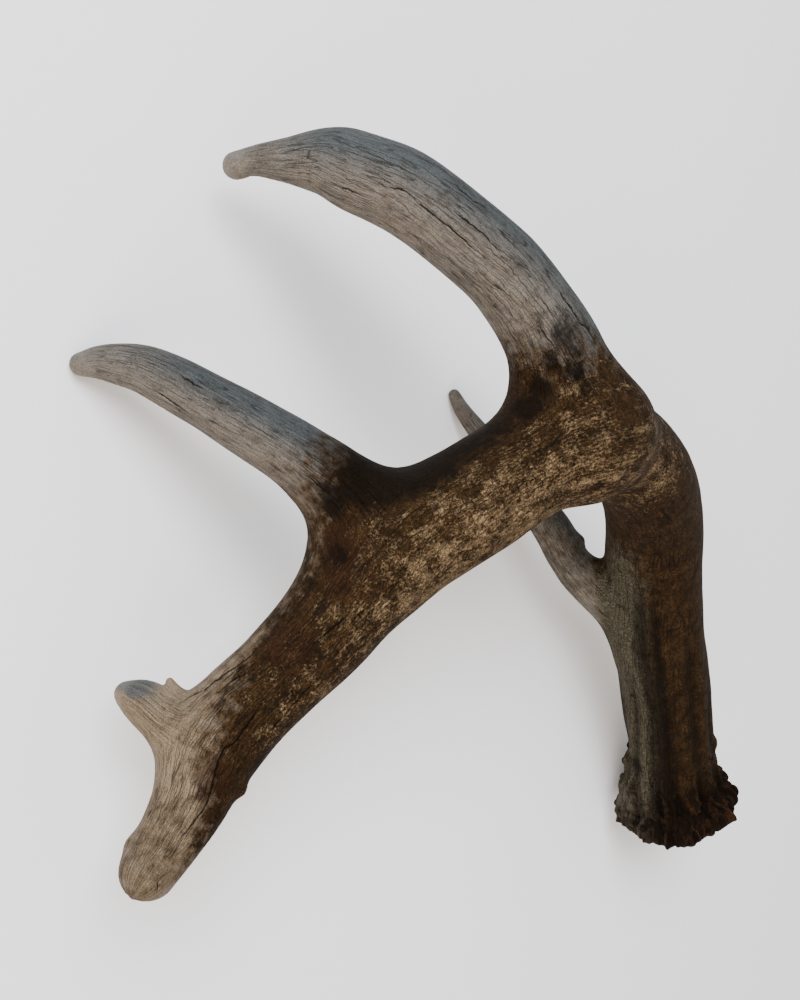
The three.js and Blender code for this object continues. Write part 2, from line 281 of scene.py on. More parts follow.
def ball(points: np.ndarray, x: float, y: float, z: float, reach: float) -> np.ndarray:
    """A smooth bump around one place."""
    return bump(lengths(points - (x, y, z)) / reach)


def patch_mask(points: np.ndarray, patches: Sequence[Sequence[float]]) -> np.ndarray:
    """A soft mask around each patch, given as x, y, z and reach."""
    return np.max([ball(points, *patch) for patch in patches], axis=0)


def noise_at(points: np.ndarray, size: float, offset: float) -> np.ndarray:
    """Even noise from about -1 to 1.

    Args:
        points: Where to read it, in millimetres.
        size: The width of its lumps.
        offset: Tells one pattern from another.

    Returns:
        One value for each point.
    """
    shift = Vector((offset, -offset, 2 * offset))
    return np.array([noise.fractal(Vector(point) / size + shift, *NOISE_LAYERS,
                                   noise_basis="PERLIN_ORIGINAL") for point in points])


@dataclass
class Beside:
    """Where points lie beside a limb.

    distance is how far outside its skin, along how far from its root, offset how far across it in
    its own two directions, and outward the way straight off its skin.
    """

    distance: np.ndarray
    along: np.ndarray
    offset: np.ndarray
    outward: np.ndarray

    def kept(self, other: "Beside", nearer: np.ndarray) -> "Beside":
        """This one's rows, with the other's where those are nearer."""
        return Beside(*(np.where(nearer.reshape((-1,) + (1,) * (mine.ndim - 1)), its, mine)
                        for mine, its in zip(self.rows, other.rows)))

    @property
    def rows(self) -> tuple[np.ndarray, ...]:
        """All four measures."""
        return self.distance, self.along, self.offset, self.outward

    @property
    def degrees(self) -> np.ndarray:
        """The angle around the limb."""
        return np.degrees(np.arctan2(self.offset[:, 1], self.offset[:, 0]))

    @property
    def grain(self) -> np.ndarray:
        """Coordinates in which the limb is straight, so that a grain along X follows it."""
        return np.column_stack([self.along, self.offset])


@dataclass(frozen=True)
class Limb:
    """A tapering round limb.

    fillet is how far its crotch on the beam is filled out, and stained between which distances from
    the beam's skin the brown of the beam runs out on it.
    """

    path: tuple[tuple[float, ...], ...]
    fillet: float = 0.0
    burr: tuple[tuple[float, float], ...] = ()
    stained: tuple[float, float] = (0.0, 1.0)

    @cached_property
    def samples(self) -> np.ndarray:
        """Rows of x, y, z and radius along the limb."""
        return spline_through(self.path, SPLINE_STEPS)

    @cached_property
    def stations(self) -> np.ndarray:
        """Distance of each sample from the root."""
        return distances_along(self.samples[:, :3])

    @cached_property
    def tangents(self) -> np.ndarray:
        """Finds which way the limb runs.

        Returns:
            A unit vector for each sample.
        """
        centres = self.samples[:, :3]
        ahead = np.vstack([centres[1:], centres[-1:]])
        behind = np.vstack([centres[:1], centres[:-1]])
        along = ahead - behind
        return along / np.linalg.norm(along, axis=1, keepdims=True)

    @cached_property
    def normals(self) -> np.ndarray:
        """Finds a direction across the limb that is carried along it without a twist.

        Returns:
            A unit vector for each sample.
        """
        normal = np.array([0.0, 0.0, 1.0])
        rows = []
        for tangent in self.tangents:
            normal = normal - tangent * (normal @ tangent)
            normal = normal / np.linalg.norm(normal)
            rows.append(normal)
        return np.array(rows)

    @cached_property
    def sides(self) -> np.ndarray:
        """The other direction across the limb at each sample."""
        return np.cross(self.tangents, self.normals)

    def radius(self, along: np.ndarray | float) -> np.ndarray:
        """Finds how thick the limb is.

        Args:
            along: Distances from its root.

        Returns:
            Its radius at each of them, with the burr's flare if it has one.
        """
        plain = np.interp(along, self.stations, self.samples[:, 3])
        if not self.burr:
            return plain
        heights, radii = np.array(self.burr).T
        return np.where(along < heights[-1], np.interp(along, heights, radii), plain)

    def beside(self, points: np.ndarray) -> Beside:
        """Finds where points lie beside the limb.

        Args:
            points: Rows of x, y and z.

        Returns:
            Their places. Before a burr the limb runs on straight to the flat of its seal.
        """
        parts = np.array_split(points, len(points) // POINTS_AT_ONCE + 1)
        rows = zip(*(self._beside(part).rows for part in parts))
        return Beside(*map(np.concatenate, rows))

    def _beside(self, points: np.ndarray) -> Beside:
        """Does the work of beside() on one part of the points.

        Args:
            points: Rows of x, y and z, a few thousand at most.

        Returns:
            Their places beside the limb.
        """
        nearest = self._nearest(points)
        best = self._beside_step(points, np.clip(nearest - 1, 0, len(self.samples) - 2))
        other = self._beside_step(points, np.clip(nearest, 0, len(self.samples) - 2))
        best = best.kept(other, other.distance < best.distance)
        if self.burr:
            below = self.burr[0][0] - best.along
            on_seal = below > best.distance
            best.distance = np.where(on_seal, below, best.distance)
            best.outward = np.where(on_seal[:, None], -self.tangents[0], best.outward)
        return best

    def _nearest(self, points: np.ndarray) -> np.ndarray:
        """Finds the sample whose sphere is nearest, first among a few and then close by.

        Args:
            points: Rows of x, y and z.

        Returns:
            The number of one sample for each point.
        """
        centres, radii = self.samples[:, :3], self.samples[:, 3]
        few = centres[::SPLINE_STEPS]
        squared = (points**2).sum(1)[:, None] - 2 * points @ few.T + (few**2).sum(1)
        rough = (np.sqrt(np.maximum(squared, 0)) - radii[::SPLINE_STEPS]).argmin(1) * SPLINE_STEPS
        steps = np.arange(-SPLINE_STEPS, SPLINE_STEPS + 1)
        around = np.clip(rough[:, None] + steps, 0, len(centres) - 1)
        gaps = np.linalg.norm(points[:, None] - centres[around], axis=2) - radii[around]
        return around[np.arange(len(points)), gaps.argmin(1)]

    def _beside_step(self, points: np.ndarray, start: np.ndarray) -> Beside:
        """Finds where points lie beside one stretch of the limb each.

        Args:
            points: Rows of x, y and z.
            start: The sample at which each point's stretch starts.

        Returns:
            Their places beside those stretches.
        """
        centres = self.samples[:, :3]
        step = centres[start + 1] - centres[start]
        share = ((points - centres[start]) * step).sum(1) / (step**2).sum(1)
        lowest = np.where(start == 0, -np.inf, 0.0) if self.burr else 0.0
        share = np.clip(share, lowest, 1)[:, None]
        away = points - centres[start] - step * share
        gap = np.maximum(lengths(away), 1e-9)
        held = np.clip(share, 0, 1)
        normal = self.normals[start] * (1 - held) + self.normals[start + 1] * held
        side = self.sides[start] * (1 - held) + self.sides[start + 1] * held
        along = self.stations[start] + share[:, 0] * lengths(step)
        offset = np.column_stack([(away * normal).sum(1), (away * side).sum(1)])
        return Beside(gap - self.radius(along), along, offset, away / gap[:, None])

    def tube(self, sides: int) -> tuple[list[tuple[float, ...]], list[tuple[int, ...]]]:
        """Makes a plain closed tube around the limb, with a round tip.

        Args:
            sides: How many corners each ring of it has.

        Returns:
            Its corners, in metres, and its faces.
        """
        length, blunt = self.stations[-1], self.samples[-1, 3]
        rings = list(self.burr[:-1])
        rings += [(station, float(self.radius(station))) for station in self.stations[:-1:TUBE_EVERY]
                  if not self.burr or station > self.burr[-2][0]]
        rings += [(length + blunt * math.sin(lean), blunt * math.cos(lean)) for lean in TIP_LEANS]
        turns = np.arange(sides) * 2 * math.pi / sides
        corners: list[tuple[float, ...]] = []
        for station, radius in rings:
            sample = int(np.abs(self.stations - station).argmin())
            centre = (self.samples[sample, :3]
                      + self.tangents[sample] * (station - self.stations[sample]))
            across = (np.cos(turns)[:, None] * self.normals[sample]
                      + np.sin(turns)[:, None] * self.sides[sample])
            ring = centre + max(radius, THINNEST_TUBE) * across
            corners.extend(map(tuple, ring * MM))
        faces = [tuple(reversed(range(sides))), tuple(range(len(corners) - sides, len(corners)))]
        for low in range(0, len(corners) - sides, sides):
            for index in range(sides):
                following = (index + 1) % sides
                faces.append((low + index, low + following,
                              low + sides + following, low + sides + index))
        return corners, faces


@dataclass
class Measured:
    """What the form says of each point of the skin."""

    points: np.ndarray
    outward: np.ndarray
    beam: Beside
    tine: Beside
    number: np.ndarray
    tine_share: np.ndarray


@dataclass(frozen=True)
class AntlerForm:
    """The antler's form: its limbs, how they run together, and the relief of its skin.

    The beam is a little wavy round, and twist is the length along which the waves turn by a radian.
    Swells, grain, lumps and ribs are noise, each with its height and size. The last two, and what is
    rough, belong to the burr.
    """

    beam: Limb
    tines: tuple[Limb, ...]
    waviness: float = 0.25
    twist: float = 45.0
    swell: float = 0.32
    swell_size: float = 19.0
    grain: float = 0.09
    grain_size: float = 2.6
    grain_stretch: float = 0.12
    lump: float = 0.5
    lump_size: float = 4.2
    rib: float = 2.6
    rib_size: float = 4.4
    rib_stretch: float = 0.14
    rib_crest: float = 0.35
    rough_stretch: tuple[float, float, float] = (-1, 24, 20)
    rough_depth: float = 0.5
    lobe_spread: float = 1.4

    def skin(self, points: np.ndarray) -> tuple[np.ndarray, np.ndarray]:
        """Measures the smooth form, in which the limbs run together.

        Args:
            points: Rows of x, y and z.

        Returns:
            How far each point is outside the form, and the way straight off it there.
        """
        beam = self.beam.beside(points)
        distance, outward = beam.distance, beam.outward
        for tine in self.tines:
            at = tine.beside(points)
            overlap = np.maximum(tine.fillet - np.abs(distance - at.distance), 0) / tine.fillet
            share = np.where(at.distance < distance, 1 - overlap / 2, overlap / 2)[:, None]
            outward = outward * (1 - share) + at.outward * share
            distance = np.minimum(distance, at.distance) - overlap * overlap * tine.fillet / 4
        return distance, outward

    def settle(self, points: np.ndarray, rounds: int) -> np.ndarray:
        """Moves points onto the smooth form.

        Args:
            points: Points that are near it.
            rounds: How many times they are moved.

        Returns:
            The moved points.
        """
        for _ in range(rounds):
            distance, outward = self.skin(points)
            steep = np.maximum((outward**2).sum(1), LEAST_STEEPNESS)
            points = points - outward * (distance / steep)[:, None]
        return points

    def measure(self, points: np.ndarray) -> Measured:
        """Finds where points lie beside the beam and beside the nearest tine.

        Args:
            points: Points on the smooth form.

        Returns:
            Their places, and how much each point belongs to its tine.
        """
        beam = self.beam.beside(points)
        tine = self.tines[0].beside(points)
        number = np.zeros(len(points), int)
        for index, other in enumerate(self.tines[1:], 1):
            at = other.beside(points)
            nearer = at.distance < tine.distance
            tine = tine.kept(at, nearer)
            number = np.where(nearer, index, number)
        share = smooth_step(beam.distance - tine.distance, *TINE_BORDER)
        _, outward = self.skin(points)
        outward /= np.maximum(np.linalg.norm(outward, axis=1, keepdims=True), 1e-6)
        return Measured(points, outward, beam, tine, number, share)

    def relief(self, at: Measured) -> tuple[np.ndarray, np.ndarray]:
        """How far the skin stands out from the smooth form.

        Args:
            at: The measured points of the smooth form.

        Returns:
            The relief, and how deep each point lies in a gutter, from 0 to 1, which is painted as
            shade there.
        """
        along, degrees = at.beam.along, at.beam.degrees
        radius = self.beam.radius(along)
        on_beam = 1 - at.tine_share
        relief = self.waviness * np.sin(np.radians(3 * degrees) + along / self.twist) * on_beam
        sunk = np.zeros(len(along))
        for angle, width, depth, start, end in GUTTERS:
            wander = GUTTER_WANDER * np.sin(along / GUTTER_WAVE + angle)
            across = band(degrees, angle + wander, width)
            sunk += depth * across * window(along, start, end, GUTTER_FADE)
        relief -= sunk * on_beam
        for height, angle, width, rise in PEARLS:
            aside = np.radians(angle_between(degrees, angle)) * radius
            relief += rise * bump(np.hypot(along - height, aside) / width)
        for x, y, z, width, rise in KNOBS:
            relief += rise * ball(at.points, x, y, z, width)
        turn = np.radians(degrees)
        ragged = sum(height * np.sin(count * turn + shift) for height, count, shift in BURR_WAVES)
        plain = np.interp(along, self.beam.stations, self.beam.samples[:, 3])
        flare = np.maximum(radius - plain, 0) * (along < self.beam.burr[-1][0])
        relief += flare * BURR_RAGGEDNESS * ragged
        rough = window(along, *self.rough_stretch) * on_beam * (1 - self.lobe(at))
        lumps = self.lump * noise_at(at.points, self.lump_size, 3.0)
        relief += rough * (lumps + self.rib * self.ribs(at) - self.rough_depth)
        relief += self.swell * noise_at(at.points, self.swell_size, 7.0)
        grain = np.where(at.tine_share[:, None] > 0.5, at.tine.grain, at.beam.grain)
        grain = grain * (self.grain_stretch, 1, 1)
        relief += self.grain * noise_at(grain, self.grain_size, 11.0)
        side, parted = self.cracks(at.points, at.outward)
        relief -= CRACK_DEPTH * bump(side / CRACK_HALF_WIDTH) * parted
        return relief, np.clip(sunk / GUTTER_SHADE_DEPTH, 0, 1) * on_beam

    def ribs(self, at: Measured) -> np.ndarray:
        """How high the burr's lengthwise ribs stand, most on their crests."""
        grain = at.beam.grain * (self.rib_stretch, 1, 1)
        return self.rib_crest - np.abs(noise_at(grain, self.rib_size, 17.0))

    def lobe(self, at: Measured) -> np.ndarray:
        """The smooth lobe at one side of the burr, as a soft mask."""
        x, y, z, width, _ = KNOBS[0]
        return ball(at.points, x, y, z, self.lobe_spread * width)

    def cracks(self, points: np.ndarray, outward: np.ndarray) -> tuple[np.ndarray, np.ndarray]:
        """Finds where points lie beside the long cracks.

        Args:
            points: Points on the skin.
            outward: The way straight off the skin at each.

        Returns:
            The distance from the nearest crack, negative on one side of it, and how far that crack
            is open there, from 0 to 1.
        """
        side = np.full(len(points), CRACK_REACH)
        reached = np.full(len(points), np.inf)
        parted = np.zeros(len(points))
        for crack in CRACKS:
            line = spline_through(crack, CRACK_STEPS)
            marks = distances_along(line)
            reach = marks[-1] / 2 + CRACK_REACH
            near = np.flatnonzero((np.abs(points - line.mean(0)) < reach).all(1))
            wobble = noise_at(points[near], CRACK_WOBBLE_SIZE, 5.0)
            there = points[near] + wobble[:, None] * CRACK_WOBBLE
            nearest = np.full(len(near), np.inf)
            across, along = np.zeros(len(near)), np.zeros(len(near))
            for start, end, mark in zip(line, line[1:], marks):
                step = end - start
                share = np.clip((there - start) @ step / (step @ step), 0, 1)
                gap = there - start - share[:, None] * step
                away = lengths(gap)
                aside = np.cross(step / np.linalg.norm(step), outward[near])
                closer = away < nearest
                across = np.where(closer, (gap * aside).sum(1), across)
                along = np.where(closer, mark + share * np.linalg.norm(step), along)
                nearest = np.minimum(nearest, away)
            closest = (nearest < CRACK_NEAR) & (nearest < reached[near])
            reached[near[closest]] = nearest[closest]
            side[near[closest]] = across[closest]
            taper = min(CRACK_TAPER, marks[-1] / 3)
            parted[near[closest]] = window(along, taper, marks[-1] - taper, taper)[closest]
        return side, parted * smooth_step(np.abs(side), *CRACK_EDGE)


def link_object(name: str, data: bpy.types.ID) -> bpy.types.Object:
    """Puts a mesh, light or camera in the scene.

    Args:
        name: The new object's name.
        data: What the object shows.

    Returns:
        The new object.
    """
    made = bpy.data.objects.new(name, data)
    bpy.context.scene.collection.objects.link(made)
    return made


def evaluated_mesh(draft: bpy.types.Object, name: str) -> bpy.types.Mesh:
    """Turns a draft object with its modifiers into a plain mesh.

    Args:
        draft: The object, which is removed.
        name: The mesh's name.

    Returns:
        The mesh.
    """
    seen = draft.evaluated_get(bpy.context.evaluated_depsgraph_get())
    mesh = bpy.data.meshes.new_from_object(seen)
    mesh.name = name
    bpy.data.objects.remove(draft)
    return mesh


def add_node(tree: bpy.types.NodeTree, kind: str, inputs: Mapping[str | int, Any] | None = None,
             **settings: Any) -> Socket | None:
    """Adds a node with its settings and links.

    Args:
        tree: The tree that it joins.
        kind: The node's type.
        inputs: A value or another node's output for each input, by its name or number.
        settings: The node's own settings.

    Returns:
        The node's first output that is in use, if it has one.
    """
    node = tree.nodes.new(kind)
    for name, value in settings.items():
        setattr(node, name, value)
    for key, value in (inputs or {}).items():
        named = [socket for socket in node.inputs if socket.enabled and socket.name == key]
        socket = named[0] if named else node.inputs[key]
        if isinstance(value, Socket):
            tree.links.new(value, socket)
        else:
            socket.default_value = value
    live = [socket for socket in node.outputs if socket.enabled]
    return live[0] if live else None


def linear(code: str) -> tuple[float, float, float, float]:
    """Turns an sRGB colour into a linear one.

    Args:
        code: The colour, as a hash sign and six hex digits.

    Returns:
        Its red, green, blue and alpha.
    """
    parts = [int(code[start:start + 2], 16) / 255 for start in (1, 3, 5)]
    parts = [part / 12.92 if part <= 0.04045 else ((part + 0.055) / 1.055) ** 2.4 for part in parts]
    return (*parts, 1.0)


@dataclass(frozen=True)
class Shader:
    """A material's node tree, with a method for each usual step."""

    tree: bpy.types.NodeTree

    def attribute(self, name: str, output: str = "Fac") -> Socket:
        """Reads one of the skin's masks or grains."""
        return add_node(self.tree, "ShaderNodeAttribute", attribute_name=name).node.outputs[output]

    def math(self, operation: str, *values: Socket | float) -> Socket:
        """Calculates with one to three values."""
        return add_node(self.tree, "ShaderNodeMath", dict(enumerate(values)), operation=operation)

    def scaled(self, vector: Socket, scale: Socket | float) -> Socket:
        """A vector or a colour times a number."""
        return add_node(self.tree, "ShaderNodeVectorMath", {0: vector, "Scale": scale},
                        operation="SCALE")

    def ranged(self, value: Socket, low: float, high: float, start: float = 0.0,
               end: float = 1.0) -> Socket:
        """Maps low to start and high to end, and holds the value between those."""
        return add_node(self.tree, "ShaderNodeMapRange", {"Value": value, "From Min": low,
                        "From Max": high, "To Min": start, "To Max": end})

    def mix(self, factor: Socket, low: Socket, high: Socket) -> Socket:
        """Blends two values."""
        return add_node(self.tree, "ShaderNodeMix", {"Factor": factor, "A": low, "B": high})

    def blend(self, factor: Socket, low: Socket | str, high: Socket | str) -> Socket:
        """Blends two colours.

        Args:
            factor: The share of the second colour, from 0 to 1.
            low: The first colour, as a hex code or another node's output.
            high: The second colour, given likewise.

        Returns:
            The blended colour.
        """
        low, high = (linear(one) if isinstance(one, str) else one for one in (low, high))
        return add_node(self.tree, "ShaderNodeMix", {"Factor": factor, "A": low, "B": high},
                        data_type="RGBA")

    def shaded(self, colour: Socket, layer: Socket, low: float, high: float) -> Socket:
        """A colour times low where a noise is low, up to times high where it is high."""
        return self.scaled(colour, self.ranged(layer, 0.3, 0.7, low, high))

    def noise(self, place: Socket, size: float, detail: float,
              levels: tuple[float, float] | None = None, stretch: float = 1.0) -> Socket:
        """Noise over the skin.

        Args:
            place: Coordinates in millimetres.
            size: The width of its lumps.
            detail: How many finer layers are in it.
            levels: The values that become 0 and 1, if it is spread out.
            stretch: How many times longer than wide its lumps are, along X.

        Returns:
            The noise, from 0 to 1.
        """
        often = (1 / (size * stretch), 1 / size, 1 / size)
        place = add_node(self.tree, "ShaderNodeVectorMath", {0: place, 1: often},
                         operation="MULTIPLY")
        value = add_node(self.tree, "ShaderNodeTexNoise", {"Vector": place, "Scale": 1.0,
                                                           "Detail": detail, "Roughness": 0.62})
        return self.ranged(value, *levels) if levels else value


@dataclass(frozen=True)
class WeatheredBoneAndPaintedLight:
    """Antler bone that has lain outdoors: dry, matt and cracked along its grain.

    Weather leaches the tines grey and opens fine cracks along them. Tannin from bark and soil stays
    in the beam's coarser skin, which is dark brown with tan flecks where its high spots are rubbed.
    Some of the colour is painted light and shade: sky light on the tines' upper side, warm light on
    the far side of the beam's tip, shade on the beam's upper edge, between the burr's ribs and in the
    gutters, and a shadow across the brow tine. Sizes are the widths of each pattern's lumps and
    lines, in millimetres.
    """

    grey: str = "#5d5a55"
    warm: str = "#6a5e50"
    # A colder grey, partly painted sky light on the tines' upper side.
    cool: str = "#3b3f3f"
    # Tan bone, which also stands for painted warm light at the beam's tip.
    pale: str = "#6e5f4b"
    olive: str = "#3d392e"
    tan: str = "#705d44"
    brown: str = "#332414"
    umber: str = "#1b1106"
    black: str = "#0a0603"
    rust: str = "#25130a"
    crack: str = "#0d0a07"
    crack_spacing: float = 1.3
    crack_length: float = 14.0
    crack_width: float = 0.23
    crack_wobble: float = 0.9
    crack_edge: tuple[float, float] = (-0.07, 0.02)
    girth: float = 11.0
    fleck: float = 0.62
    fleck_density: float = 0.34
    fleck_edge: tuple[float, float] = (1.16, 1.42)
    fibre: float = 1.0
    grit: float = 0.36
    pit: float = 0.9
    cloud: float = 4.0
    patch: float = 9.0
    border: float = 3.2
    border_share: float = 1.3
    roughness: float = 0.7
    rubbed_roughness: float = 0.56
    shine: float = 0.16
    stained_shine: float = 0.03

    def material(self) -> bpy.types.Material:
        """Builds the material.

        Returns:
            The material, which reads the masks that the skin stores.
        """
        material = bpy.data.materials.new("weathered_antler_bone_and_painted_light")
        material.use_nodes = True
        tree = material.node_tree
        tree.nodes.clear()
        shader = Shader(tree)
        place = add_node(tree, "ShaderNodeTexCoord").node.outputs["Object"]
        place = shader.scaled(place, 1 / MM)
        mask = {tone: self._mask(shader, place, tone) for tone in Tone}
        gutter, polish, share = map(shader.attribute, ("gutter", "polish", "tine_share"))
        grains = [shader.attribute(name, "Vector") for name in ("beam_grain", "tine_grain")]
        wrapped = [self._unrolled(shader, grain) for grain in grains]
        fibres = [shader.noise(grain, self.fibre, 5.0, stretch=6.0) for grain in wrapped]
        fibre = shader.mix(share, *fibres)
        fibre = shader.mix(polish, fibre, shader.noise(place, 3.0, 3.0))
        crack = shader.mix(share, *(self._cracks(shader, grain) for grain in wrapped))
        crack = shader.math("MULTIPLY", crack, shader.math("SUBTRACT", 1.0, polish))
        long_crack = self._long_cracks(shader, place)
        grit = shader.noise(place, self.grit, 2.0)
        pits = shader.noise(place, self.pit, 3.0)
        flecks = self._flecks(shader, grains[0], mask[Tone.FLECKED])

        leached_with_painted_light = shader.blend(shader.noise(place, self.patch, 3.0), self.grey, self.warm)
        # Painted sky light: a colder grey on the tines' upper side.
        leached_with_painted_light = shader.blend(mask[Tone.LEACHED_AND_SKY_LIT], leached_with_painted_light, self.cool)
        # Painted warm light: a paler tan on the tip's side away from the painted sky light.
        leached_with_painted_light = shader.blend(mask[Tone.PALE], leached_with_painted_light, self.pale)
        leached_with_painted_light = shader.shaded(leached_with_painted_light, fibre, 0.8, 1.14)
        leached_with_painted_light = shader.shaded(leached_with_painted_light, grit, 0.6, 1.38)
        stained = shader.noise(place, self.cloud, 5.0, (0.32, 0.7))
        stained = shader.blend(stained, self.umber, self.brown)
        stained = shader.blend(mask[Tone.OLIVE], stained, self.olive)
        stained = shader.shaded(shader.blend(flecks, stained, self.tan), grit, 0.3, 1.8)
        stained = shader.shaded(stained, pits, 0.5, 1.5)
        colour = shader.blend(mask[Tone.BROWN], leached_with_painted_light, stained)
        for factor, amount, code in (
            (mask[Tone.RUST], 0.55, self.rust), (mask[Tone.DARK], 0.85, self.black),
            # Painted shade in the gutters, darker the deeper they are.
            (gutter, 0.7, self.black), (crack, 0.84, self.crack), (long_crack, 0.95, self.crack),
        ):
            colour = shader.blend(shader.math("MULTIPLY", factor, amount), colour, code)

        height = shader.math("MULTIPLY", fibre, 0.35)
        for layer, depth in ((flecks, 0.45), (grit, 0.2), (pits, 0.5),
                             (crack, -0.3), (long_crack, -0.4)):
            height = shader.math("MULTIPLY_ADD", layer, depth, height)
        relief = add_node(tree, "ShaderNodeBump",
                          {"Height": height, "Distance": MM, "Strength": 0.9})
        dry = shader.ranged(polish, 0.0, 1.0, self.roughness, self.rubbed_roughness)
        shine = shader.ranged(mask[Tone.BROWN], 0.0, 1.0, self.shine, self.stained_shine)
        bone = add_node(tree, "ShaderNodeBsdfPrincipled",
                        {"Base Color": colour, "Roughness": dry, "Normal": relief, "IOR": 1.54,
                         "Specular IOR Level": shine})
        add_node(tree, "ShaderNodeOutputMaterial", {"Surface": bone})
        return material

    def _mask(self, shader: Shader, place: Socket, tone: Tone) -> Socket:
        """Reads one tone's mask and breaks up its edge with noise.

        Args:
            shader: The material's nodes.
            place: Coordinates in millimetres.
            tone: The tone.

        Returns:
            The mask, from 0 to 1.
        """
        mask = shader.attribute(tone.value)
        if tone in (Tone.LEACHED_AND_SKY_LIT, Tone.FLECKED):
            return mask
        noisy = shader.noise(place, self.border, 6.0)
        noisy = shader.math("MULTIPLY_ADD", noisy, self.border_share, mask)
        return shader.ranged(noisy, *EDGES.get(tone, EDGE))

    def _unrolled(self, shader: Shader, grain: Socket) -> Socket:
        """Lays one limb's skin out flat.

        Args:
            shader: The material's nodes.
            grain: The limb's grain coordinates.

        Returns:
            Coordinates along and around it, in millimetres at a usual girth.
        """
        parts = add_node(shader.tree, "ShaderNodeSeparateXYZ", {0: grain}).node.outputs
        around = shader.math("MULTIPLY", shader.math("ARCTAN2", parts["Z"], parts["Y"]), self.girth)
        return add_node(shader.tree, "ShaderNodeCombineXYZ", {"X": parts["X"], "Y": around})

    def _cracks(self, shader: Shader, grain: Socket) -> Socket:
        """Draws fine cracks along one limb's grain, where a stretched noise passes its middle.

        Args:
            shader: The material's nodes.
            grain: The limb's flat coordinates.

        Returns:
            How dark the cracks are, from 0 to 1.
        """
        wobble = add_node(shader.tree, "ShaderNodeTexNoise",
                          {"Vector": grain, "Scale": 0.42, "Detail": 3.0}).node.outputs["Color"]
        bent = add_node(shader.tree, "ShaderNodeVectorMath",
                        {0: wobble, 1: (1.4, 1.4, 0.0), 2: grain}, operation="MULTIPLY_ADD")
        cracks = None
        for spacing, length, opened, (core, edge), darkness in FINE_CRACKS:
            size = spacing * self.crack_spacing
            value = shader.noise(bent, size, 0.0, stretch=length * self.crack_length / size)
            value = shader.math("ABSOLUTE", shader.math("SUBTRACT", value, 0.5))
            line = shader.math("MULTIPLY", shader.ranged(value, core, edge, darkness, 0.0),
                               shader.noise(grain, size * 2.6, 2.0, opened, stretch=2.5))
            cracks = shader.math("MAXIMUM", cracks, line) if cracks else line
        return cracks

    def _long_cracks(self, shader: Shader, place: Socket) -> Socket:
        """Draws the long cracks, as wide at each point as they are open there.

        Args:
            shader: The material's nodes.
            place: Coordinates in millimetres.

        Returns:
            The mask, from 0 to 1.
        """
        side, parted = map(shader.attribute, ("crack_side", "crack_parted"))
        side = shader.math("MULTIPLY_ADD", shader.noise(place, 1.2, 3.0), self.crack_wobble, side)
        side = shader.math("ABSOLUTE", shader.math("SUBTRACT", side, self.crack_wobble / 2))
        value = shader.math("MULTIPLY_ADD", parted, -self.crack_width, side)
        return shader.ranged(value, *self.crack_edge, 1.0, 0.0)

    def _flecks(self, shader: Shader, grain: Socket, density: Socket) -> Socket:
        """Draws the rubbed high spots of the beam's skin.

        Args:
            shader: The material's nodes.
            grain: The beam's grain coordinates.
            density: The higher it is, the more flecks there are.

        Returns:
            The mask, from 0 to 1.
        """
        fine = shader.noise(grain, self.fleck, 5.0, stretch=1.2)
        wide = shader.noise(grain, self.fleck * 7, 4.0, stretch=1.25)
        value = shader.math("MULTIPLY_ADD", wide, 0.9, fine)
        value = shader.math("MULTIPLY_ADD", density, self.fleck_density, value)
        return shader.ranged(value, *self.fleck_edge)


